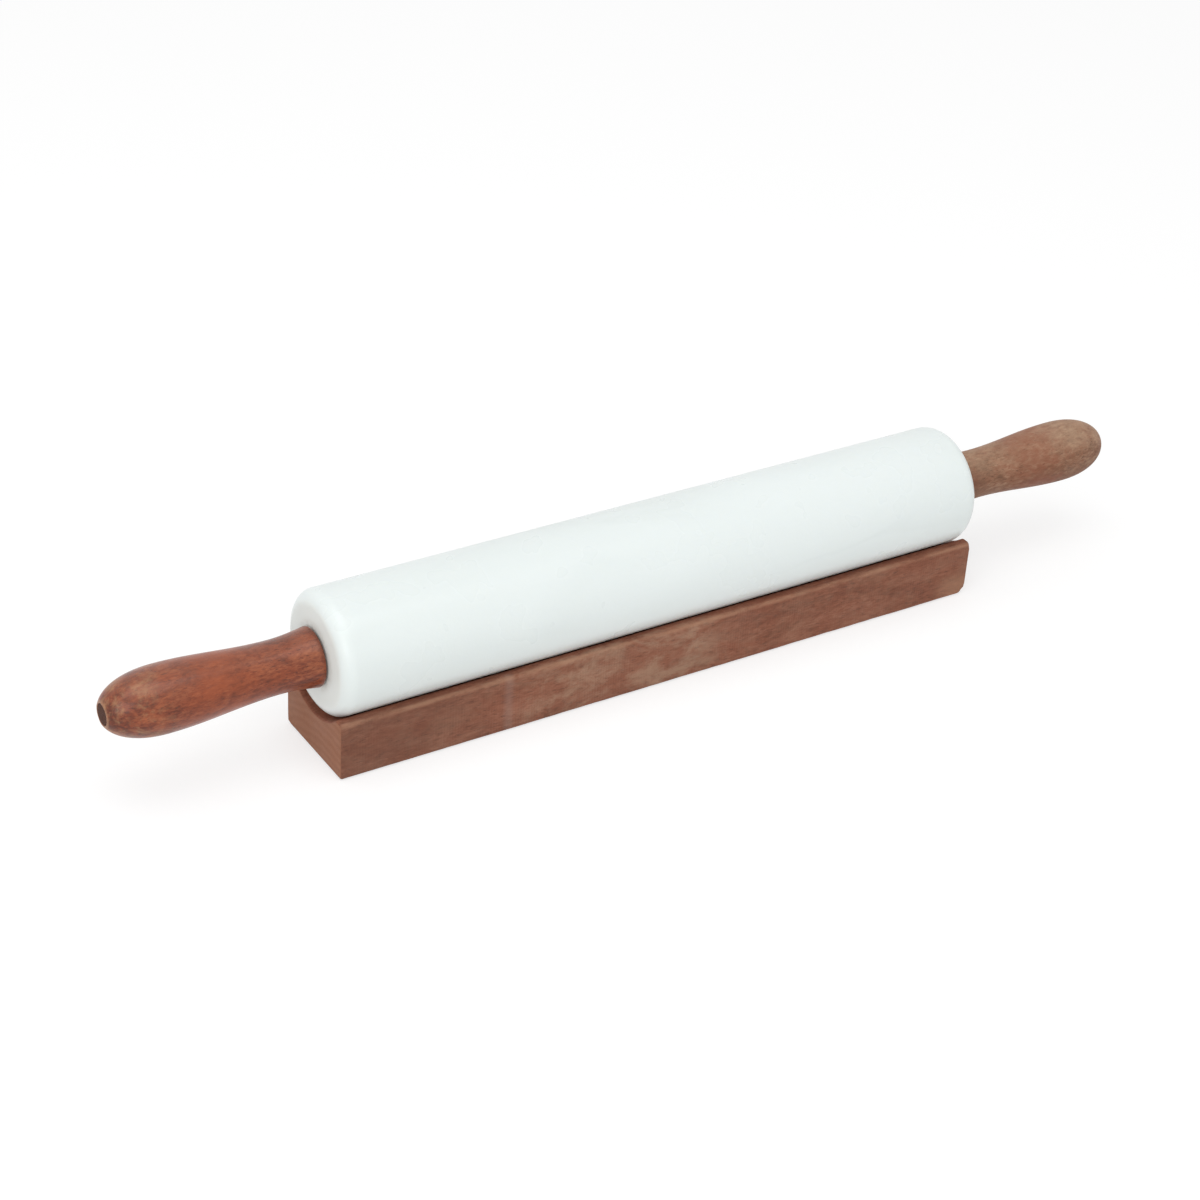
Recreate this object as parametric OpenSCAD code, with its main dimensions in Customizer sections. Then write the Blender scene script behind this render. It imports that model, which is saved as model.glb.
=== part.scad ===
// Marble rolling pin with turned wooden handles, lying in its grooved wooden cradle.
// X runs along the pin, Z is up, and the origin is the middle of the cradle's underside.

/* [Marble barrel] */
// Outside diameter of the barrel
barrel_d = 50; // [44:0.5:62]
// Length of the barrel from end face to end face
barrel_l = 297; // [220:1:360]
// Radius of the rounded shoulder at each end
barrel_edge_r = 6; // [2:0.5:10]
// Diameter of the hole drilled through the barrel
barrel_bore_d = 12; // [11:0.5:14]

/* [Bushings] */
// Length of a bushing, flange included
bushing_l = 22; // [12:1:40]
// Diameter of the flange that sits flush in the barrel end
bushing_flange_d = 17; // [15:0.5:20]
// Thickness of the flange
bushing_flange_t = 2.5; // [1.5:0.25:4]

/* [Axle] */
// Diameter of the rod that the barrel turns on
axle_d = 8; // [7:0.5:9]
// Diameter of the threaded end that passes through a handle
axle_end_d = 5; // [4:0.5:6]
// How far the rod stops short of the key socket in the nut
rod_short_of_key = 1; // [0.5:0.25:3]
// Size of the chamfer on each end of the rod
axle_chamfer = 0.5; // [0.2:0.1:1]

/* [Thrust washers] */
// Outside diameter of a washer
washer_d = 17; // [14:0.5:19]
// Thickness of a washer
washer_t = 1.5; // [1:0.25:2.5]
// How far a washer stands out of the handle
washer_proud = 0.3; // [0.2:0.1:0.8]

/* [Handles] */
// Length of a handle
handle_l = 84; // [76:1:110]
// Diameter at the flared end beside the marble
handle_base_d = 24; // [22:0.5:30]
// Diameter at the neck
handle_neck_d = 20.8; // [17:0.2:24]
// Diameter at the fullest place
handle_belly_d = 26.2; // [24:0.2:34]
// Distance of the neck from the flared end
neck_at = 16; // [10:1:24]
// Distance of the fullest place from the flared end
belly_at = 61; // [52:1:64]
// Width of the flat ring left round the plug at the tip
tip_rim = 0.5; // [0.3:0.1:1.5]
// Roundness of the domed tip, where 2 is an ellipse
dome_power = 2.2; // [1.8:0.1:2.8]
// Radius of the eased edge at the flared end
base_edge_r = 1; // [0.5:0.25:2]

/* [Handle fastening] */
// Diameter of the hole in the tip for the nut and the plug
tip_hole_d = 8.5; // [8.5:0.1:9.5]
// Length of the wooden plug
plug_l = 10; // [6:0.5:14]
// Size of the chamfer on the plug's edges
plug_chamfer = 0.3; // [0.2:0.1:0.6]
// Empty length between the plug and the nut
plug_gap = 0.5; // [0.3:0.1:2]
// Diameter of the sleeve nut
nut_d = 8; // [7:0.1:8]
// Length of the sleeve nut
nut_l = 11; // [9:0.5:14]
// Width across the flats of the key socket in the nut
key_af = 4; // [3:0.5:4]
// Depth of the key socket
key_depth = 3; // [2:0.5:3.5]

/* [Cradle] */
// How far the cradle runs past each end face of the barrel
cradle_past_barrel = 0.5; // [0:0.5:6]
// Width of the cradle
cradle_w = 45; // [42:0.5:64]
// Height of the cradle
cradle_h = 24.5; // [22:0.5:28]
// Thickness of wood left under the groove
groove_floor = 17.5; // [14:0.5:20]
// How much the groove's radius exceeds the barrel's
groove_ease = 0.8; // [0.5:0.1:2]
// Radius of the long edges of the cradle
long_edge_r = 1.2; // [0.5:0.1:3]
// Radius of the upright corners of the cradle
corner_r = 1.6; // [0.5:0.1:3]
// Radius of the short edges at the cradle's ends
end_edge_r = 1; // [0.5:0.1:3]
// Size of the eased edge along and across the groove
groove_chamfer = 0.6; // [0.3:0.1:1]

/* [Clearances] */
// Radial play between the axle and what turns on it
running_fit = 0.06; // [0.02:0.01:0.1]
// Radial play of what is pressed, glued or screwed in place
seat_fit = 0.02; // [0.01:0.01:0.04]
// Radial play of an axle end in a handle
through_fit = 0.1; // [0.05:0.05:0.3]
// Radial play of a washer in its recess
recess_fit = 0.2; // [0.1:0.05:0.4]
// Endwise play between a washer and a bushing
end_play = 0.3; // [0.25:0.05:0.6]
// Height of the barrel over the bottom of the groove
rest_gap = 0.3; // [0.25:0.05:0.5]

/* [Hidden] */
// True circles for everything turned or drilled
$fn = 96;
// Overcut that keeps cutting faces apart
over = 1;

barrel_r = barrel_d / 2;
cradle_l = barrel_l + 2 * cradle_past_barrel;
groove_r = barrel_r + groove_ease;
groove_axis_z = groove_floor + groove_r;
axle_z = groove_floor + rest_gap + barrel_r;

// Stations along the axle, measured from the middle of the barrel
face_at = barrel_l / 2;
washer_at = face_at + end_play;
shoulder_at = washer_at + washer_t;
base_at = washer_at + washer_proud;
tip_at = base_at + handle_l;
plug_at = tip_at - plug_l;
nut_at = plug_at - plug_gap - nut_l;
axle_end_at = nut_at + nut_l - key_depth - rod_short_of_key;
recess_depth = shoulder_at - base_at;

base_r = handle_base_d / 2;
neck_r = handle_neck_d / 2;
belly_r = handle_belly_d / 2;
tip_r = tip_hole_d / 2 + tip_rim;
// Share of the full dome that is left once the tip is cut flat
dome_cut = pow(1 - pow(tip_r / belly_r, dome_power), 1 / dome_power);
dome_l = (handle_l - belly_at) / dome_cut;

edge_steps = 5;
flare_steps = 8;
swell_steps = 20;
dome_steps = 18;

// Radius of the handle at a distance from its flared end
function handle_r(s) =
    s < neck_at ? flare_r(s / neck_at)
    : s < belly_at ? swell_r((s - neck_at) / (belly_at - neck_at))
    : dome_r((s - belly_at) / dome_l);

function flare_r(t) = neck_r + (base_r - neck_r) * (1 - sin(90 * t));

function swell_r(t) = neck_r + (belly_r - neck_r) * pow(sin(90 * t), 2);

function dome_r(u) = belly_r * pow(1 - pow(u, dome_power), 1 / dome_power);

// Points of the eased edge, from the flat end round to the side
function base_edge_points() =
    let (centre_r = handle_r(base_edge_r) - base_edge_r)
    [for (i = [0:edge_steps])
        let (a = 90 * i / edge_steps)
        [centre_r + base_edge_r * sin(a), base_edge_r * (1 - cos(a))]];

function flare_points() =
    [for (i = [1:flare_steps])
        let (s = base_edge_r + (neck_at - base_edge_r) * i / flare_steps)
        [handle_r(s), s]];

function swell_points() =
    [for (i = [1:swell_steps])
        let (s = neck_at + (belly_at - neck_at) * i / swell_steps)
        [handle_r(s), s]];

// The dome's points crowd towards the tip, where it turns fastest
function dome_points() =
    [for (i = [1:dome_steps])
        let (s = belly_at + (handle_l - belly_at) * sin(90 * i / dome_steps))
        [handle_r(s), s]];

// Lays a turned shape, drawn upright, along the axle towards the right-hand end
module on_axle(at = 0) {
    translate([at, 0, axle_z])
        rotate([0, 90, 0])
            children();
}

// Repeats a right-hand shape at the left-hand end
module at_left() {
    mirror([1, 0, 0])
        children();
}

// Rectangle about the origin with true round corners
module rounded_rectangle(l, w, r) {
    square([l - 2 * r, w], center = true);
    square([l, w - 2 * r], center = true);
    for (x = [-1, 1], y = [-1, 1])
        translate([x * (l / 2 - r), y * (w / 2 - r)])
            circle(r);
}

// Block whose edges in all three directions are rounded
module cradle_block() {
    translate([0, 0, cradle_h / 2])
        intersection() {
            rotate([90, 0, 90])
                linear_extrude(cradle_l, center = true)
                    rounded_rectangle(cradle_w, cradle_h, long_edge_r);
            linear_extrude(cradle_h, center = true)
                rounded_rectangle(cradle_l, cradle_w, corner_r);
            rotate([90, 0, 0])
                linear_extrude(cradle_w, center = true)
                    rounded_rectangle(cradle_l, cradle_h, end_edge_r);
        }
}

// Half width of the groove at a height above the table
function groove_half(z) = sqrt(pow(groove_r, 2) - pow(groove_axis_z - z, 2));

// The eased mouth takes the sharp edge off both sides of the groove
module groove_mouth() {
    low = cradle_h - groove_chamfer;
    rotate([90, 0, 90])
        linear_extrude(cradle_l + 2 * over, center = true)
            polygon([[-groove_half(low), low],
                [groove_half(low), low],
                [groove_half(cradle_h) + groove_chamfer, cradle_h],
                [groove_half(cradle_h) + groove_chamfer, cradle_h + over],
                [-groove_half(cradle_h) - groove_chamfer, cradle_h + over],
                [-groove_half(cradle_h) - groove_chamfer, cradle_h]]);
}

// Cone that eases the groove where it runs out through an end of the cradle
module groove_end_ease() {
    translate([cradle_l / 2 - groove_chamfer, 0, groove_axis_z])
        rotate([0, 90, 0])
            cylinder(r1 = groove_r, r2 = groove_r + groove_chamfer + over, h = groove_chamfer + over);
}

module cradle() {
    color("saddlebrown")
        difference() {
            cradle_block();
            translate([0, 0, groove_axis_z])
                rotate([0, 90, 0])
                    cylinder(r = groove_r, h = cradle_l + 2 * over, center = true);
            groove_mouth();
            groove_end_ease();
            at_left()
                groove_end_ease();
        }
}

// Half outline of the barrel, with its shoulders as true arcs
module barrel_outline() {
    translate([0, -barrel_l / 2])
        square([barrel_r - barrel_edge_r, barrel_l]);
    translate([0, barrel_edge_r - barrel_l / 2])
        square([barrel_r, barrel_l - 2 * barrel_edge_r]);
    for (side = [-1, 1])
        translate([barrel_r - barrel_edge_r, side * (barrel_l / 2 - barrel_edge_r)])
            circle(barrel_edge_r);
}

module marble_barrel() {
    flange_seat_r = bushing_flange_d / 2 + seat_fit;
    color("gainsboro")
        on_axle()
            difference() {
                rotate_extrude()
                    barrel_outline();
                cylinder(d = barrel_bore_d, h = barrel_l + 2 * over, center = true);
                for (side = [0, 1])
                    mirror([0, 0, side])
                        translate([0, 0, face_at - bushing_flange_t])
                            cylinder(r = flange_seat_r, h = bushing_flange_t + over);
            }
}

module bushing() {
    sleeve_d = barrel_bore_d - 2 * seat_fit;
    color("ivory")
        on_axle(face_at - bushing_l)
            difference() {
                union() {
                    cylinder(d = sleeve_d, h = bushing_l - bushing_flange_t / 2);
                    translate([0, 0, bushing_l - bushing_flange_t])
                        cylinder(d = bushing_flange_d, h = bushing_flange_t);
                }
                translate([0, 0, -over])
                    cylinder(d = axle_d + 2 * running_fit, h = bushing_l + 2 * over);
            }
}

module left_bushing() {
    at_left()
        bushing();
}

module right_bushing() {
    bushing();
}

// One end of the rod, from the shoulder to the chamfered tip
module axle_end() {
    length = axle_end_at - shoulder_at;
    cylinder(d = axle_end_d, h = length - axle_chamfer);
    translate([0, 0, length - axle_chamfer])
        cylinder(d1 = axle_end_d, d2 = axle_end_d - 2 * axle_chamfer, h = axle_chamfer);
}

module axle_rod() {
    color("silver")
        union() {
            on_axle()
                cylinder(d = axle_d, h = 2 * shoulder_at, center = true);
            on_axle(shoulder_at)
                axle_end();
            at_left()
                on_axle(shoulder_at)
                    axle_end();
        }
}

module thrust_washer() {
    color("lightgray")
        on_axle(washer_at)
            difference() {
                cylinder(d = washer_d, h = washer_t);
                translate([0, 0, -over])
                    cylinder(d = axle_d + 2 * running_fit, h = washer_t + 2 * over);
            }
}

module left_thrust_washer() {
    at_left()
        thrust_washer();
}

module right_thrust_washer() {
    thrust_washer();
}

module handle() {
    tip_hole_at = nut_at - base_at;
    color("sienna")
        on_axle(base_at)
            difference() {
                rotate_extrude()
                    polygon(concat([[0, 0]],
                        base_edge_points(), flare_points(), swell_points(), dome_points(),
                        [[0, handle_l]]));
                translate([0, 0, -over])
                    cylinder(r = washer_d / 2 + recess_fit, h = recess_depth + over);
                cylinder(d = axle_end_d + 2 * through_fit, h = handle_l);
                translate([0, 0, tip_hole_at])
                    cylinder(d = tip_hole_d, h = handle_l - tip_hole_at + over);
            }
}

module left_handle() {
    at_left()
        handle();
}

module right_handle() {
    handle();
}

module sleeve_nut() {
    color("darkgray")
        on_axle(nut_at)
            difference() {
                cylinder(d = nut_d, h = nut_l);
                translate([0, 0, -over])
                    cylinder(d = axle_end_d + 2 * seat_fit, h = nut_l - key_depth + over);
                translate([0, 0, nut_l - key_depth])
                    cylinder(d = key_af / cos(30), h = key_depth + over, $fn = 6);
            }
}

module left_nut() {
    at_left()
        sleeve_nut();
}

module right_nut() {
    sleeve_nut();
}

module plug() {
    plug_r = tip_hole_d / 2 - seat_fit;
    color("peru")
        on_axle(plug_at) {
            cylinder(r1 = plug_r - plug_chamfer, r2 = plug_r, h = plug_chamfer);
            translate([0, 0, plug_chamfer])
                cylinder(r = plug_r, h = plug_l - 2 * plug_chamfer);
            translate([0, 0, plug_l - plug_chamfer])
                cylinder(r1 = plug_r, r2 = plug_r - plug_chamfer, h = plug_chamfer);
        }
}

module left_plug() {
    at_left()
        plug();
}

module right_plug() {
    plug();
}

cradle();
marble_barrel();
left_bushing();
right_bushing();
axle_rod();
left_thrust_washer();
right_thrust_washer();
left_handle();
right_handle();
left_nut();
right_nut();
left_plug();
right_plug();
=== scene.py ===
import bmesh
import bpy
import math
from mathutils import Matrix, Vector, noise


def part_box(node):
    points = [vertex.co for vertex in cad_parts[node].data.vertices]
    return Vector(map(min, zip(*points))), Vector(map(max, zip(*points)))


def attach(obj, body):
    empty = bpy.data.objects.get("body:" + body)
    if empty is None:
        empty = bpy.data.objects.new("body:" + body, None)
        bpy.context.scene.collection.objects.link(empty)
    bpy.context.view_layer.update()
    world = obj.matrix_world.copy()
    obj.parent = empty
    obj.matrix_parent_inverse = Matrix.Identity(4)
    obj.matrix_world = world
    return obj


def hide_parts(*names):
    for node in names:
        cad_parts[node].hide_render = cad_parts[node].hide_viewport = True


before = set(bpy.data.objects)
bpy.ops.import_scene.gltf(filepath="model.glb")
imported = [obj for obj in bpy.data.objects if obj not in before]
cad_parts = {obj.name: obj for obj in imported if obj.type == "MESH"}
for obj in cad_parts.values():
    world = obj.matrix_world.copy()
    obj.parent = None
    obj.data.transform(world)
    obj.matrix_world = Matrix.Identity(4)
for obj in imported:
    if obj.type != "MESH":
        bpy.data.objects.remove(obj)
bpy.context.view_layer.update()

# Camera at the photograph's view, from its vanishing lines and the barrel's outline
AZIMUTH = math.radians(-33.94)
ELEVATION = math.radians(31.55)
ROLL = math.radians(3.68)
FOCAL_PX = 2662.0
IMAGE_PX = 1200.0
SENSOR_MM = 36.0
SHIFT_RIGHT = -0.01737
SHIFT_UP = 0.02172
DISTANCE = 1.0822

# The handle's turned outline, with the same sizes as its solid
BASE_R = 0.0120
NECK_R = 0.0104
BELLY_R = 0.0131
NECK_AT = 0.016
BELLY_AT = 0.061
BASE_EDGE_R = 0.001
TIP_HOLE_R = 0.00425
TIP_RIM = 0.0005
DOME_POWER = 2.2
RECESS_R = 0.0087
RECESS_DEPTH = 0.0012
END_BORE_R = 0.0026
TIP_HOLE_DEPTH = 0.0215

# The barrel's shoulder and the seats in its ends
SHOULDER_R = 0.006
BORE_R = 0.006
FLANGE_R = 0.00852
FLANGE_T = 0.0025

# The cradle's groove and its eased edges
GROOVE_FLOOR = 0.0175
GROOVE_EASE = 0.0008
LONG_EDGE_R = 0.0012
MOUTH_EASE = 0.0006
END_EASE = 0.0010

# How far the turned surfaces wander inward from a perfect turning
HANDLE_UNEVENNESS = 0.00007
BARREL_UNEVENNESS = 0.00005
WANDERS_PER_METRE = 45

# Wear of the cradle: slow and fine dents all over, and more along the long edges
SLOW_DENTS_PER_METRE = 38
FINE_DENTS_PER_METRE = 210
SLOW_WEAR = 0.00006
FINE_WEAR = 0.00003
EDGE_WEAR = 0.00042
EDGE_WEAR_REACH = 0.0011

# Stations of the handle's flushed middle, from the marble outward
FLUSH_STARTS = (0.020, 0.036)
FLUSH_ENDS = (0.046, 0.062)

# Marks on the front of the cradle, along X from its middle
VEIL_STARTS = (-0.085, -0.045)
VEIL_ENDS = (0.000, 0.035)
STREAK_X = -0.0768

SHARP = math.radians(38)
AROUND = 224


def middle(a, b):
    return (a + b) / 2


barrel_low, barrel_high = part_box("marble_barrel")
handle_low, handle_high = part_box("right_handle")
cradle_low, cradle_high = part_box("cradle")

AXLE_Z = middle(barrel_low[2], barrel_high[2])
BARREL_R = (barrel_high[2] - barrel_low[2]) / 2
BARREL_HALF = barrel_high[0]
HANDLE_BASE_X = handle_low[0]
HANDLE_L = handle_high[0] - handle_low[0]
CRADLE_HALF = cradle_high[0]
CRADLE_W = cradle_high[1] - cradle_low[1]
CRADLE_H = cradle_high[2]
GROOVE_R = BARREL_R + GROOVE_EASE
GROOVE_Z = GROOVE_FLOOR + GROOVE_R


# Mesh helpers

def object_from(bm, name):
    """A smooth-shaded object with its true corners kept sharp."""
    bmesh.ops.recalc_face_normals(bm, faces=bm.faces[:])
    for face in bm.faces:
        face.smooth = True
    for edge in bm.edges:
        if len(edge.link_faces) == 2 and edge.calc_face_angle() > SHARP:
            edge.smooth = False
    mesh = bpy.data.meshes.new(name)
    bm.to_mesh(mesh)
    bm.free()
    obj = bpy.data.objects.new(name, mesh)
    bpy.context.scene.collection.objects.link(obj)
    return obj


def turned(name, loop, side, unevenness):
    """Revolves a closed outline of (radius, station) points about the axle."""
    bm = bmesh.new()
    rings = []
    for i in range(AROUND):
        angle = 2 * math.pi * i / AROUND
        across = Vector((0, math.cos(angle), math.sin(angle)))
        ring = []
        for radius, station in loop:
            place = Vector((side * station, 0, 0)) + across * radius
            here = place * WANDERS_PER_METRE + Vector((side * 7, 0, 0))
            inward = unevenness * (0.5 + 0.5 * noise.noise(here))
            place -= across * min(inward, radius * 0.2)
            ring.append(bm.verts.new(place + Vector((0, 0, AXLE_Z))))
        rings.append(ring)
    count = len(loop)
    for i in range(AROUND):
        here = rings[i]
        after = rings[(i + 1) % AROUND]
        for j in range(count):
            k = (j + 1) % count
            bm.faces.new((here[j], here[k], after[k], after[j]))
    return object_from(bm, name)


def arc(centre_a, centre_b, radius, start, end, steps):
    """Points along an arc, with its angles in degrees."""
    points = []
    for i in range(steps + 1):
        angle = math.radians(start + (end - start) * i / steps)
        points.append((centre_a + radius * math.cos(angle), centre_b + radius * math.sin(angle)))
    return points


def run(start, end, step):
    """Points along a straight run, its last point left out."""
    length = math.dist(start, end)
    count = max(1, round(length / step))
    return [tuple(a + (b - a) * i / count for a, b in zip(start, end)) for i in range(count)]


# Handles

def handle_radius(station):
    if station < NECK_AT:
        return NECK_R + (BASE_R - NECK_R) * (1 - math.sin(math.pi / 2 * station / NECK_AT))
    if station < BELLY_AT:
        share = (station - NECK_AT) / (BELLY_AT - NECK_AT)
        return NECK_R + (BELLY_R - NECK_R) * math.sin(math.pi / 2 * share) ** 2
    share = (station - BELLY_AT) / dome_length()
    return BELLY_R * (1 - share ** DOME_POWER) ** (1 / DOME_POWER)


def dome_length():
    tip_r = TIP_HOLE_R + TIP_RIM
    cut = (1 - (tip_r / BELLY_R) ** DOME_POWER) ** (1 / DOME_POWER)
    return (HANDLE_L - BELLY_AT) / cut


def handle_loop():
    """Outline of the wood, from the recess at the marble round to the bore."""
    edge_r = handle_radius(BASE_EDGE_R) - BASE_EDGE_R
    points = [(END_BORE_R, RECESS_DEPTH), (RECESS_R, RECESS_DEPTH), (RECESS_R, 0.0)]
    points += [(edge_r + BASE_EDGE_R * math.sin(math.radians(a)),
                BASE_EDGE_R * (1 - math.cos(math.radians(a)))) for a in range(0, 91, 15)]
    side_steps = 60
    for i in range(1, side_steps + 1):
        station = BASE_EDGE_R + (BELLY_AT - BASE_EDGE_R) * i / side_steps
        points.append((handle_radius(station), station))
    dome_steps = 40
    for i in range(1, dome_steps):
        station = BELLY_AT + (HANDLE_L - BELLY_AT) * math.sin(math.pi / 2 * i / dome_steps)
        points.append((handle_radius(station), station))
    tip_edge = 0.0002
    points.append((TIP_HOLE_R + TIP_RIM - tip_edge / 2, HANDLE_L))
    points.append((TIP_HOLE_R + tip_edge, HANDLE_L))
    points.append((TIP_HOLE_R, HANDLE_L - tip_edge))
    points.append((TIP_HOLE_R, HANDLE_L - TIP_HOLE_DEPTH))
    points.append((END_BORE_R, HANDLE_L - TIP_HOLE_DEPTH))
    return [(radius, HANDLE_BASE_X + station) for radius, station in points]


def make_handle(side, name, node, material):
    handle = turned(name, handle_loop(), side, HANDLE_UNEVENNESS)
    handle.data.materials.append(material)
    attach(handle, "grip_and_axle")
    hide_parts(node)


# Marble barrel

def barrel_loop():
    """Outline of the marble, down one shoulder and along the bore."""
    flat_r = BARREL_R - SHOULDER_R
    right = [(flat_r + a, BARREL_HALF - SHOULDER_R + b)
             for a, b in arc(0, 0, SHOULDER_R, 0, 90, 14)]
    steps = 60
    straight = BARREL_HALF - SHOULDER_R
    outside = [(BARREL_R, -straight + 2 * straight * i / steps) for i in range(1, steps)]
    left = [(radius, -station) for radius, station in reversed(right)]
    inside_right = [(FLANGE_R, BARREL_HALF), (FLANGE_R, BARREL_HALF - FLANGE_T),
                    (BORE_R, BARREL_HALF - FLANGE_T)]
    inside_left = [(radius, -station) for radius, station in reversed(inside_right)]
    return left + outside + right + inside_right + inside_left


def make_barrel(material):
    barrel = turned("marble_roller", barrel_loop(), 1, BARREL_UNEVENNESS)
    barrel.data.materials.append(material)
    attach(barrel, "roller")
    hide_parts("marble_barrel")


# Cradle

def groove_half(height):
    return math.sqrt(GROOVE_R ** 2 - (GROOVE_Z - height) ** 2)


def eased_mouth():
    """Rounded edge between the flat land and the groove, on the +Y side."""
    start = Vector((groove_half(CRADLE_H) + MOUTH_EASE, CRADLE_H))
    corner = Vector((groove_half(CRADLE_H), CRADLE_H))
    end = Vector((groove_half(CRADLE_H - MOUTH_EASE), CRADLE_H - MOUTH_EASE))
    points = []
    steps = 4
    for i in range(steps + 1):
        t = i / steps
        points.append(tuple(start * (1 - t) ** 2 + corner * 2 * t * (1 - t) + end * t ** 2))
    return points


def cradle_outline():
    """The cradle's end view as (y, z) points, anticlockwise."""
    half = CRADLE_W / 2
    r = LONG_EDGE_R
    step = 0.0018
    mouth = eased_mouth()
    mouth_angle = math.degrees(math.atan2(mouth[-1][1] - GROOVE_Z, mouth[-1][0]))
    points = run((-half + r, 0), (half - r, 0), step)
    points += arc(half - r, r, r, -90, 0, 5)[:-1]
    points += run((half, r), (half, CRADLE_H - r), step)
    points += arc(half - r, CRADLE_H - r, r, 0, 90, 5)[:-1]
    points += run((half - r, CRADLE_H), mouth[0], 0.001)
    points += mouth[:-1]
    points += arc(0, GROOVE_Z, GROOVE_R, mouth_angle, -180 - mouth_angle, 40)[:-1]
    points += [(-y, z) for y, z in reversed(mouth)][:-1]
    points += run((-mouth[0][0], CRADLE_H), (-half + r, CRADLE_H), 0.001)
    points += arc(-half + r, CRADLE_H - r, r, 90, 180, 5)[:-1]
    points += run((-half, CRADLE_H - r), (-half, r), step)
    points += arc(-half + r, r, r, 180, 270, 5)[:-1]
    return [Vector(point) for point in points]


def outward(points):
    """Unit normals of a closed anticlockwise outline."""
    count = len(points)
    normals = []
    for i in range(count):
        along = points[(i + 1) % count] - points[i - 1]
        normals.append(Vector((along[1], -along[0])).normalized())
    return normals


def knocked(place, corner, direction, depth):
    """Flattens a corner of the block as a knock or hard sanding does."""
    over = (place - corner).dot(direction) + depth
    if over > 0:
        return place - direction * over
    return place


# Corner of the block, direction of the knock and how deep it goes
KNOCKS = (
    ((1, -1, 0), (1.0, -0.35, -0.9), 0.0026),
    ((1, -1, 1), (1.0, -0.8, 0.6), 0.0013),
    ((-1, -1, 1), (-0.9, -0.9, 0.7), 0.0009),
    ((-1, 1, 0), (-1.0, 0.5, -0.8), 0.0011),
    ((1, 1, 1), (0.8, 1.0, 0.5), 0.0012),
)


def worn(place, normal):
    """Moves a point of the block inward by wear, never outward."""
    slow = 0.5 + 0.5 * noise.noise(place * SLOW_DENTS_PER_METRE)
    fine = 0.5 + 0.5 * noise.noise(place * FINE_DENTS_PER_METRE + Vector((3, 1, 4)))
    from_side = CRADLE_W / 2 - abs(place.y)
    from_face = min(place.z, CRADLE_H - place.z)
    edge = math.exp(-(max(from_side, 0) + max(from_face, 0)) / EDGE_WEAR_REACH)
    place = place - normal * (SLOW_WEAR * slow + FINE_WEAR * fine + EDGE_WEAR * edge * slow * fine)
    for signs, direction, depth in KNOCKS:
        corner = Vector((signs[0] * CRADLE_HALF, signs[1] * CRADLE_W / 2, signs[2] * CRADLE_H))
        place = knocked(place, corner, Vector(direction).normalized(), depth)
    return place


def cradle_stations():
    """Pairs of (x, inward ease) from the left end to the right end."""
    ends = []
    ease_steps = 6
    for i in range(ease_steps + 1):
        turn = math.pi / 2 * i / ease_steps
        ends.append((CRADLE_HALF - END_EASE * (1 - math.cos(turn)), END_EASE * (1 - math.sin(turn))))
    close_rings = 8
    close_step = 0.0006
    for i in range(1, close_rings + 1):
        ends.append((CRADLE_HALF - END_EASE - close_step * i, 0.0))
    inner = ends[-1][0]
    body_steps = 150
    body = [(-inner + 2 * inner * i / body_steps, 0.0) for i in range(1, body_steps)]
    return [(-x, ease) for x, ease in ends] + body + list(reversed(ends))


def make_cradle(material):
    outline = cradle_outline()
    normals = outward(outline)
    bm = bmesh.new()
    rings = []
    for x, ease in cradle_stations():
        ring = []
        for point, normal in zip(outline, normals):
            place = Vector((x, point[0] - normal[0] * ease, point[1] - normal[1] * ease))
            place = worn(place, Vector((0, normal[0], normal[1])))
            ring.append(bm.verts.new(place))
        rings.append(ring)
    count = len(outline)
    for here, after in zip(rings, rings[1:]):
        for j in range(count):
            k = (j + 1) % count
            bm.faces.new((here[j], here[k], after[k], after[j]))
    bm.faces.new(rings[0])
    bm.faces.new(rings[-1])
    cradle = object_from(bm, "sanded_cradle")
    cradle.data.materials.append(material)
    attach(cradle, "stand")
    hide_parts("cradle")


# Shader helpers

def put(tree, kind, settings=None, inputs=None):
    """Adds a node, with its settings and with values or links on its inputs."""
    node = tree.nodes.new(kind)
    for key, value in (settings or {}).items():
        setattr(node, key, value)
    for key, value in (inputs or {}).items():
        if isinstance(value, bpy.types.NodeSocket):
            tree.links.new(value, node.inputs[key])
        else:
            node.inputs[key].default_value = value
    return node


def blank_material(name):
    material = bpy.data.materials.new(name)
    material.use_nodes = True
    tree = material.node_tree
    shader = tree.nodes["Principled BSDF"]
    return material, tree, shader


def rgb(colour):
    return (colour[0], colour[1], colour[2], 1.0)


def place_of(tree):
    return put(tree, "ShaderNodeTexCoord").outputs["Object"]


def stretched(tree, per_metre, turn=(0, 0, 0)):
    """Object coordinates with so many pattern cells per metre along each axis."""
    mapping = put(tree, "ShaderNodeMapping", None,
                  {"Vector": place_of(tree), "Scale": per_metre, "Rotation": turn})
    return mapping.outputs["Vector"]


def cloud(tree, per_metre, detail=3.0, rough=0.5, distortion=0.0, seed=0.0):
    node = put(tree, "ShaderNodeTexNoise", {"noise_dimensions": "4D"},
               {"Vector": stretched(tree, per_metre), "W": seed, "Scale": 1.0, "Detail": detail,
                "Roughness": rough, "Distortion": distortion})
    return node.outputs["Fac"]


def ramp(tree, factor, stops):
    node = put(tree, "ShaderNodeValToRGB", None, {"Fac": factor})
    elements = node.color_ramp.elements
    for i, (position, colour) in enumerate(stops):
        element = elements[i] if i < 2 else elements.new(position)
        element.position = position
        element.color = rgb(colour)
    return node.outputs["Color"]


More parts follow.
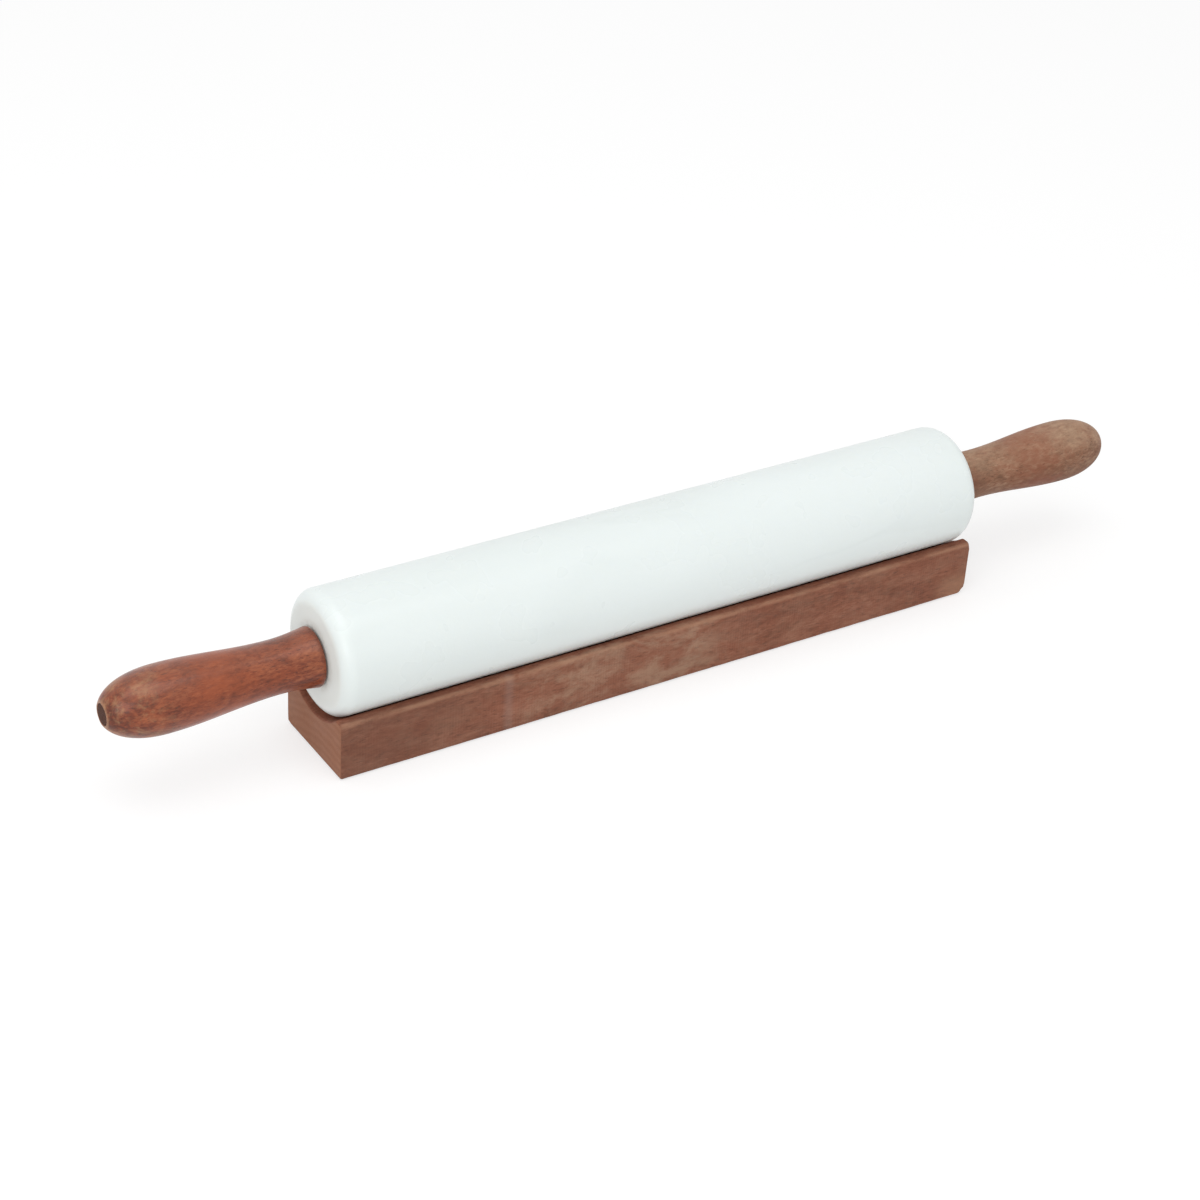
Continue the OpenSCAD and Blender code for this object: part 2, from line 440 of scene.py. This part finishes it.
def mix(tree, factor, a, b, mode="MIX"):
    node = put(tree, "ShaderNodeMix", {"data_type": "RGBA", "blend_type": mode})
    for index, value in ((0, factor), (6, a), (7, b)):
        if isinstance(value, bpy.types.NodeSocket):
            tree.links.new(value, node.inputs[index])
        elif index == 0:
            node.inputs[index].default_value = value
        else:
            node.inputs[index].default_value = rgb(value)
    return node.outputs[2]


def fade(tree, value, start, end, low=0.0, high=1.0):
    """Turns a value into a smooth step between two levels."""
    node = put(tree, "ShaderNodeMapRange", {"interpolation_type": "SMOOTHSTEP"},
               {"Value": value, "From Min": start, "From Max": end, "To Min": low, "To Max": high})
    return node.outputs["Result"]


def maths(tree, operation, a, b=0.0):
    node = put(tree, "ShaderNodeMath", {"operation": operation}, {0: a, 1: b})
    return node.outputs["Value"]


def axes_of(tree):
    node = put(tree, "ShaderNodeSeparateXYZ", None, {"Vector": place_of(tree)})
    return node.outputs["X"], node.outputs["Y"], node.outputs["Z"]


def normal_x(tree):
    """How far a face looks along the pin, from 0 to 1."""
    normal = put(tree, "ShaderNodeTexCoord").outputs["Normal"]
    node = put(tree, "ShaderNodeSeparateXYZ", None, {"Vector": normal})
    return maths(tree, "ABSOLUTE", node.outputs["X"])


def roughened(tree, shader, height, distance, strength=1.0):
    bump = put(tree, "ShaderNodeBump", None,
               {"Height": height, "Distance": distance, "Strength": strength})
    tree.links.new(bump.outputs["Normal"], shader.inputs["Normal"])


def link(tree, socket, shader, name):
    tree.links.new(socket, shader.inputs[name])


# Materials

def marble():
    """White semi-polished marble with faint clouds, veins and ground end faces, darkened round the handle
    by grime and painted shade.
    """
    material, tree, shader = blank_material("white_marble")
    drift = cloud(tree, (9, 22, 22), 2, 0.45, 0.3)
    base = ramp(tree, drift, [(0.30, (0.810, 0.868, 0.852)), (0.66, (0.852, 0.912, 0.900))])
    vein_field = cloud(tree, (7, 16, 16), 2, 0.45, 1.6, 4.0)
    off_centre = maths(tree, "ABSOLUTE", maths(tree, "SUBTRACT", vein_field, 0.5))
    line = fade(tree, off_centre, 0.0, 0.045, 1.0, 0.0)
    broken = fade(tree, cloud(tree, (14, 20, 20), 2, 0.5, 0.0, 9.0), 0.42, 0.68)
    veins = maths(tree, "MULTIPLY", maths(tree, "MULTIPLY", line, broken), 0.10)
    base = mix(tree, veins, base, (0.600, 0.660, 0.645))
    grains = fade(tree, cloud(tree, (900, 900, 900), 2, 0.6, 0.0, 2.0), 0.3, 0.7)
    base = mix(tree, maths(tree, "MULTIPLY", grains, 0.05), base, (0.74, 0.79, 0.78))
    _, y, z = axes_of(tree)
    on_end = fade(tree, normal_x(tree), 0.90, 0.995)
    base = mix(tree, maths(tree, "MULTIPLY", on_end, 0.55), base, (0.83, 0.86, 0.82))
    from_axle = put(tree, "ShaderNodeVectorMath", {"operation": "LENGTH"},
                    {0: put(tree, "ShaderNodeCombineXYZ", None,
                            {"Y": y, "Z": maths(tree, "SUBTRACT", z, AXLE_Z)}).outputs["Vector"]})
    # Darker round the handle on the end faces: partly grime, partly painted shade where the handle meets
    # the marble
    near_handle = fade(tree, from_axle.outputs["Value"], BASE_R, BASE_R + 0.0035, 1.0, 0.0)
    grime_and_painted_shade = maths(tree, "MULTIPLY", maths(tree, "MULTIPLY", near_handle, on_end),
                  fade(tree, cloud(tree, (300, 300, 300), 3, 0.6, 0.0, 6.0), 0.3, 0.7, 0.06, 0.28))
    base = mix(tree, grime_and_painted_shade, base, (0.45, 0.38, 0.31))
    link(tree, base, shader, "Base Color")
    polish = fade(tree, cloud(tree, (60, 60, 60), 2, 0.5, 0.0, 3.0), 0.3, 0.7, 0.26, 0.34)
    rough = maths(tree, "MAXIMUM", polish, maths(tree, "MULTIPLY", on_end, 0.5))
    link(tree, rough, shader, "Roughness")
    shader.inputs["Subsurface Weight"].default_value = 0.12
    shader.inputs["Subsurface Radius"].default_value = (1.0, 0.95, 0.85)
    shader.inputs["Subsurface Scale"].default_value = 0.0025
    roughened(tree, shader, cloud(tree, (700, 700, 700), 3, 0.6, 0.0, 8.0), 0.00003)
    return material


def turned_wood(name, colours, look):
    """Lengthwise-grained hardwood under lacquer, its tone, wear and painted sheen set by look, with
    painted shade at its base.
    """
    material, tree, shader = blank_material(name)
    seed = look["seed"]
    bands = cloud(tree, look["bands"], 5, 0.65, 0.9, seed)
    fibres = cloud(tree, look["fibres"], 4, 0.7, 0.5, seed + 1)
    figure = maths(tree, "ADD", maths(tree, "MULTIPLY", bands, 0.50),
                   maths(tree, "MULTIPLY", fibres, 0.50))
    dark, mid, light = colours
    base = ramp(tree, figure, [(0.37, dark), (0.63, light), (0.50, mid)])
    mottle = cloud(tree, (75, 120, 120), 6, 0.72, 0.6, seed + 2)
    base = mix(tree, fade(tree, mottle, 0.46, 0.66, 0.0, look["mottle"]), base, look["mottle_colour"])
    base = mix(tree, fade(tree, mottle, 0.34, 0.50, look["shade"], 0.0), base, look["pore_colour"])
    pores = fade(tree, cloud(tree, (420, 2100, 2100), 2, 0.6, 0.0, seed + 3), 0.58, 0.68)
    base = mix(tree, maths(tree, "MULTIPLY", pores, 0.74), base, look["pore_colour"])
    x, _, z = axes_of(tree)
    # Lighter on the upper side: partly bleaching, partly a painted sheen from the overhead light
    patches = fade(tree, cloud(tree, (200, 320, 320), 6, 0.75, 0.5, seed + 6), 0.34, 0.66, 0.35, 1.0)
    bleach_and_sheen = maths(tree, "MULTIPLY", fade(tree, z, AXLE_Z + 0.001, AXLE_Z + 0.012), patches)
    base = mix(tree, maths(tree, "MULTIPLY", bleach_and_sheen, look["bleach_and_sheen"]), base, look["bleach_and_sheen_colour"])
    reach = maths(tree, "ABSOLUTE", x)
    station = maths(tree, "SUBTRACT", reach, HANDLE_BASE_X)
    flush = maths(tree, "MULTIPLY", fade(tree, station, *FLUSH_STARTS),
                  fade(tree, station, *FLUSH_ENDS, 1.0, 0.0))
    flush = maths(tree, "MULTIPLY", flush, fade(tree, mottle, 0.36, 0.58, 0.2, look["flush"]))
    base = mix(tree, flush, base, look["mottle_colour"])
    tip_x = HANDLE_BASE_X + HANDLE_L
    near_tip = fade(tree, reach, tip_x - 0.030, tip_x - 0.008)
    dust = fade(tree, cloud(tree, (120, 160, 160), 5, 0.7, 0.4, seed + 4), 0.46, 0.66)
    dust = maths(tree, "MULTIPLY", maths(tree, "MULTIPLY", near_tip, dust), look["dust"])
    base = mix(tree, dust, base, look["dust_colour"])
    # Painted shade: the wood is darkened where the handle meets the marble
    painted_shade_at_base = fade(tree, reach, HANDLE_BASE_X + 0.0006, HANDLE_BASE_X + 0.003, 0.25, 0.0)
    base = mix(tree, painted_shade_at_base, base, look["pore_colour"])
    rim = fade(tree, reach, tip_x - 0.0006, tip_x - 0.0002, 0.0, 0.55)
    base = mix(tree, rim, base, look["rim_colour"])
    link(tree, base, shader, "Base Color")
    smear = cloud(tree, (70, 120, 120), 4, 0.6, 0.0, seed + 5)
    rough = maths(tree, "ADD", fade(tree, smear, 0.3, 0.7, look["rough"] - 0.08, look["rough"] + 0.12),
                  maths(tree, "MULTIPLY", dust, 0.25))
    link(tree, rough, shader, "Roughness")
    shader.inputs["Specular IOR Level"].default_value = look["gloss"]
    shader.inputs["Coat Weight"].default_value = look["coat"]
    shader.inputs["Coat Roughness"].default_value = look["coat_rough"]
    rings = put(tree, "ShaderNodeTexWave", {"bands_direction": "X"},
                {"Vector": stretched(tree, (230, 0, 0)), "Scale": 1.0, "Distortion": 1.5}).outputs["Fac"]
    height = maths(tree, "SUBTRACT", maths(tree, "MULTIPLY", fibres, 0.5),
                   maths(tree, "MULTIPLY", pores, 0.6))
    height = maths(tree, "ADD", height, maths(tree, "MULTIPLY", rings, 0.12))
    roughened(tree, shader, height, 0.00005)
    return material


def left_handle_wood():
    colours = ((0.070, 0.015, 0.006), (0.205, 0.043, 0.016), (0.375, 0.108, 0.042))
    look = {"seed": 1.0, "bands": (55, 120, 120), "fibres": (300, 950, 950),
            "mottle": 0.42, "mottle_colour": (0.370, 0.082, 0.026), "shade": 0.14,
            "pore_colour": (0.060, 0.015, 0.008), "flush": 0.45,
            "bleach_and_sheen": 0.34, "bleach_and_sheen_colour": (0.330, 0.145, 0.092),
            "dust": 0.55, "dust_colour": (0.45, 0.25, 0.125), "rim_colour": (0.42, 0.21, 0.11),
            "rough": 0.36, "gloss": 0.25, "coat": 0.28, "coat_rough": 0.16}
    return turned_wood("lacquered_red_brown_wood", colours, look)


def right_handle_wood():
    colours = ((0.145, 0.062, 0.033), (0.265, 0.127, 0.072), (0.430, 0.252, 0.158))
    look = {"seed": 23.0, "bands": (45, 100, 100), "fibres": (260, 800, 800),
            "mottle": 0.50, "mottle_colour": (0.265, 0.086, 0.045), "shade": 0.18,
            "pore_colour": (0.090, 0.040, 0.024), "flush": 0.55,
            "bleach_and_sheen": 0.50, "bleach_and_sheen_colour": (0.54, 0.37, 0.245),
            "dust": 0.40, "dust_colour": (0.54, 0.37, 0.245), "rim_colour": (0.45, 0.32, 0.22),
            "rough": 0.58, "gloss": 0.25, "coat": 0.06, "coat_rough": 0.35}
    return turned_wood("worn_light_brown_wood", colours, look)


def plug_wood():
    """End grain of the plugs, with fine rings and open pores."""
    material, tree, shader = blank_material("plug_end_grain")
    rings = put(tree, "ShaderNodeTexWave", {"wave_type": "RINGS", "rings_direction": "X"},
                {"Vector": stretched(tree, (1, 1, 1)), "Scale": 480.0, "Distortion": 3.0,
                 "Detail": 3.0, "Detail Scale": 2.0}).outputs["Fac"]
    base = ramp(tree, rings, [(0.15, (0.046, 0.016, 0.009)), (0.85, (0.108, 0.040, 0.022))])
    pores = fade(tree, cloud(tree, (400, 2600, 2600), 2, 0.6, 0.0, 5.0), 0.58, 0.70)
    base = mix(tree, maths(tree, "MULTIPLY", pores, 0.6), base, (0.020, 0.009, 0.006))
    link(tree, base, shader, "Base Color")
    link(tree, fade(tree, pores, 0.0, 1.0, 0.58, 0.75), shader, "Roughness")
    shader.inputs["Specular IOR Level"].default_value = 0.08
    roughened(tree, shader, maths(tree, "SUBTRACT", rings, pores), 0.00006)
    return material


def cradle_wood():
    """Red-brown stained block with saw marks, dusty patches and worn edges, the long top edges lighter by
    rubbing and a painted highlight.
    """
    material, tree, shader = blank_material("stained_cradle_wood")
    x, y, z = axes_of(tree)
    bands = cloud(tree, (16, 75, 75), 6, 0.66, 1.0, 31.0)
    fibres = cloud(tree, (260, 900, 900), 4, 0.7, 0.5, 32.0)
    figure = maths(tree, "ADD", maths(tree, "MULTIPLY", bands, 0.5),
                   maths(tree, "MULTIPLY", fibres, 0.5))
    base = ramp(tree, figure, [(0.36, (0.125, 0.038, 0.020)), (0.64, (0.360, 0.148, 0.090)),
                               (0.50, (0.235, 0.080, 0.044))])
    blotch = fade(tree, cloud(tree, (16, 60, 60), 5, 0.6, 0.5, 33.0), 0.40, 0.68)
    base = mix(tree, maths(tree, "MULTIPLY", blotch, 0.45), base, (0.255, 0.082, 0.044))
    pores = fade(tree, cloud(tree, (260, 2000, 2000), 2, 0.6, 0.0, 34.0), 0.58, 0.68)
    base = mix(tree, maths(tree, "MULTIPLY", pores, 0.65), base, (0.080, 0.028, 0.017))

    saw = put(tree, "ShaderNodeTexWave", {"bands_direction": "X", "wave_profile": "SAW"},
              {"Vector": stretched(tree, (1, 0.12, 0.12)), "Scale": 260.0, "Distortion": 2.6,
               "Detail": 3.0, "Detail Scale": 1.4, "Detail Roughness": 0.6}).outputs["Fac"]
    marks = fade(tree, cloud(tree, (70, 30, 30), 4, 0.7, 0.0, 35.0), 0.38, 0.68)
    saw_tone = maths(tree, "MULTIPLY", maths(tree, "MULTIPLY", saw, marks), 0.22)
    base = mix(tree, saw_tone, base, (0.38, 0.20, 0.135))

    # A grey veil of marble dust lies on the middle of the front
    front = fade(tree, y, -CRADLE_W / 2 + 0.004, -CRADLE_W / 2 + 0.0015)
    middle_patch = maths(tree, "MULTIPLY", fade(tree, x, *VEIL_STARTS),
                         fade(tree, x, *VEIL_ENDS, 1.0, 0.0))
    veil = fade(tree, cloud(tree, (55, 90, 90), 5, 0.7, 0.8, 36.0), 0.40, 0.68, 0.12, 1.0)
    veil = maths(tree, "MULTIPLY", veil, fade(tree, middle_patch, 0.0, 1.0, 0.30, 1.0))
    veil = maths(tree, "MULTIPLY", maths(tree, "MULTIPLY", veil, front), 0.64)
    base = mix(tree, veil, base, (0.45, 0.295, 0.20))
    left_shade = fade(tree, x, -CRADLE_HALF + 0.02, -0.070, 0.38, 0.0)
    base = mix(tree, maths(tree, "MULTIPLY", left_shade, front), base, (0.130, 0.060, 0.040))
    low_right = maths(tree, "MULTIPLY", fade(tree, x, CRADLE_HALF - 0.022, CRADLE_HALF - 0.004),
                      fade(tree, z, 0.006, 0.015, 0.45, 0.0))
    base = mix(tree, low_right, base, (0.47, 0.25, 0.15))

    streak_off = maths(tree, "ABSOLUTE", maths(tree, "SUBTRACT", x, STREAK_X))
    streak = fade(tree, streak_off, 0.0002, 0.0034, 0.15, 0.0)
    base = mix(tree, maths(tree, "MULTIPLY", streak, front), base, (0.40, 0.35, 0.31))

    # Lighter along the long top edges: partly bare wood where the stain is rubbed off, partly a painted
    # highlight along the edge
    side_off = maths(tree, "SUBTRACT", CRADLE_W / 2, maths(tree, "ABSOLUTE", y))
    top_off = maths(tree, "SUBTRACT", CRADLE_H, z)
    edge_off = maths(tree, "ADD", side_off, top_off)
    rub_and_highlight_patches = fade(tree, cloud(tree, (60, 240, 240), 4, 0.7, 0.0, 37.0), 0.36, 0.62, 0.15, 1.0)
    edge = maths(tree, "MULTIPLY", fade(tree, edge_off, 0.0006, 0.0022, 0.55, 0.0), rub_and_highlight_patches)
    base = mix(tree, edge, base, (0.46, 0.25, 0.155))

    # End grain is smoother and more orange
    on_end = fade(tree, normal_x(tree), 0.75, 0.95)
    rings = put(tree, "ShaderNodeTexWave", {"wave_type": "RINGS", "rings_direction": "X"},
                {"Vector": put(tree, "ShaderNodeVectorMath", {"operation": "ADD"},
                               {0: place_of(tree), 1: (0.0, 0.012, 0.055)}).outputs["Vector"],
                 "Scale": 90.0, "Distortion": 3.0, "Detail": 3.0, "Detail Scale": 1.5}).outputs["Fac"]
    end_colour = ramp(tree, rings, [(0.1, (0.305, 0.132, 0.075)), (0.9, (0.335, 0.150, 0.087))])
    end_pores = fade(tree, cloud(tree, (1500, 1500, 1500), 2, 0.6, 0.0, 38.0), 0.60, 0.72)
    end_colour = mix(tree, maths(tree, "MULTIPLY", end_pores, 0.5), end_colour, (0.17, 0.066, 0.038))
    base = mix(tree, on_end, base, end_colour)
    link(tree, base, shader, "Base Color")

    shader.inputs["Specular IOR Level"].default_value = 0.25
    smear = cloud(tree, (40, 80, 80), 4, 0.6, 0.0, 39.0)
    rough = maths(tree, "ADD", fade(tree, smear, 0.3, 0.7, 0.56, 0.72),
                  maths(tree, "MULTIPLY", veil, 0.3))
    link(tree, rough, shader, "Roughness")
    height = maths(tree, "SUBTRACT", maths(tree, "MULTIPLY", fibres, 0.5),
                   maths(tree, "MULTIPLY", pores, 0.7))
    height = maths(tree, "ADD", height, maths(tree, "MULTIPLY", maths(tree, "MULTIPLY", saw, marks), 0.6))
    roughened(tree, shader, height, 0.00011)
    return material


def drawn_steel():
    """Bright rod and turned hardware with fine lines round the axle."""
    material, tree, shader = blank_material("drawn_steel")
    shader.inputs["Metallic"].default_value = 1.0
    lines = cloud(tree, (2600, 60, 60), 3, 0.6, 0.0, 41.0)
    link(tree, ramp(tree, lines, [(0.3, (0.50, 0.50, 0.51)), (0.7, (0.66, 0.66, 0.67))]),
         shader, "Base Color")
    link(tree, fade(tree, lines, 0.3, 0.7, 0.22, 0.38), shader, "Roughness")
    roughened(tree, shader, lines, 0.00001)
    return material


def moulded_nylon():
    """Off-white nylon with a faint flow pattern."""
    material, tree, shader = blank_material("moulded_nylon")
    flow = cloud(tree, (240, 400, 400), 4, 0.6, 0.5, 43.0)
    link(tree, ramp(tree, flow, [(0.3, (0.78, 0.76, 0.69)), (0.7, (0.86, 0.84, 0.78))]),
         shader, "Base Color")
    link(tree, fade(tree, flow, 0.3, 0.7, 0.38, 0.52), shader, "Roughness")
    roughened(tree, shader, flow, 0.00003)
    return material


def dress(nodes, material):
    """Gives carried-over solids their material."""
    for name in nodes:
        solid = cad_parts[name]
        solid.data.materials.clear()
        solid.data.materials.append(material)


# Stage

def backdrop_share(tree):
    """1 for rays from the camera, mirrors and glass, and 0 for light itself."""
    rays = put(tree, "ShaderNodeLightPath")
    seen = maths(tree, "MAXIMUM", rays.outputs["Is Camera Ray"], rays.outputs["Is Glossy Ray"])
    return maths(tree, "MAXIMUM", seen, rays.outputs["Is Transmission Ray"])


WORLD_LIGHT = 0.68
FLOOR_GLOW = 0.62
FLOOR_PAINT = 0.44


def make_floor():
    """Pale floor that reads as white and still takes the object's shadow."""
    bm = bmesh.new()
    bmesh.ops.create_grid(bm, x_segments=1, y_segments=1, size=6.0)
    floor = object_from(bm, "floor")
    floor.location.z = -0.0002
    material, tree, shader = blank_material("pale_floor")
    tree.nodes.remove(shader)
    paint = put(tree, "ShaderNodeBsdfDiffuse", None, {"Color": rgb((0.82, 0.82, 0.82))})
    seen_paint = put(tree, "ShaderNodeBsdfDiffuse", None, {"Color": rgb((FLOOR_PAINT,) * 3)})
    glow = put(tree, "ShaderNodeEmission", None, {"Color": rgb((1, 1, 1)), "Strength": FLOOR_GLOW})
    seen = put(tree, "ShaderNodeAddShader", None, {0: seen_paint.outputs[0], 1: glow.outputs[0]})
    both = put(tree, "ShaderNodeMixShader", None,
               {0: backdrop_share(tree), 1: paint.outputs[0], 2: seen.outputs[0]})
    tree.links.new(both.outputs[0], tree.nodes["Material Output"].inputs["Surface"])
    floor.data.materials.append(material)


def make_world():
    world = bpy.data.worlds.new("studio")
    bpy.context.scene.world = world
    world.use_nodes = True
    tree = world.node_tree
    background = tree.nodes["Background"]
    background.inputs["Color"].default_value = (1, 1, 1, 1)
    share = backdrop_share(tree)
    strength = fade(tree, share, 0.0, 1.0, WORLD_LIGHT, 1.0)
    tree.links.new(strength, background.inputs["Strength"])


def area_light(name, place, size, watts):
    data = bpy.data.lights.new(name, "AREA")
    data.shape = "RECTANGLE"
    data.size, data.size_y = size
    data.energy = watts
    lamp = bpy.data.objects.new(name, data)
    lamp.location = place
    aim = Vector((0, 0, 0.03)) - Vector(place)
    lamp.rotation_euler = aim.to_track_quat("-Z", "Y").to_euler()
    bpy.context.scene.collection.objects.link(lamp)


def make_lights():
    area_light("overhead_softbox", (-0.20, -0.25, 1.25), (1.3, 0.8), 4.6)
    area_light("left_front_softbox", (-1.00, -0.70, 0.60), (0.8, 0.8), 3.6)


def make_camera():
    back = Vector((math.sin(AZIMUTH) * math.cos(ELEVATION),
                   -math.cos(AZIMUTH) * math.cos(ELEVATION),
                   math.sin(ELEVATION)))
    level = Vector((0, 0, 1)).cross(back).normalized()
    upright = back.cross(level)
    right = level * math.cos(ROLL) + upright * math.sin(ROLL)
    up = upright * math.cos(ROLL) - level * math.sin(ROLL)
    data = bpy.data.cameras.new("camera")
    data.sensor_fit = "HORIZONTAL"
    data.sensor_width = SENSOR_MM
    data.lens = FOCAL_PX / IMAGE_PX * SENSOR_MM
    data.clip_start = 0.01
    camera = bpy.data.objects.new("camera", data)
    turn = Matrix((right, up, back)).transposed().to_4x4()
    place = right * SHIFT_RIGHT + up * SHIFT_UP + back * DISTANCE
    camera.matrix_world = Matrix.Translation(place) @ turn
    bpy.context.scene.collection.objects.link(camera)
    bpy.context.scene.camera = camera


make_camera()
make_world()
make_lights()
make_floor()

make_cradle(cradle_wood())
make_barrel(marble())
make_handle(-1, "left_turned_handle", "left_handle", left_handle_wood())
make_handle(1, "right_turned_handle", "right_handle", right_handle_wood())
dress(["left_plug", "right_plug"], plug_wood())
dress(["axle_rod", "left_nut", "right_nut", "left_thrust_washer", "right_thrust_washer"], drawn_steel())
dress(["left_bushing", "right_bushing"], moulded_nylon())

bpy.context.scene.view_settings.view_transform = "Standard"
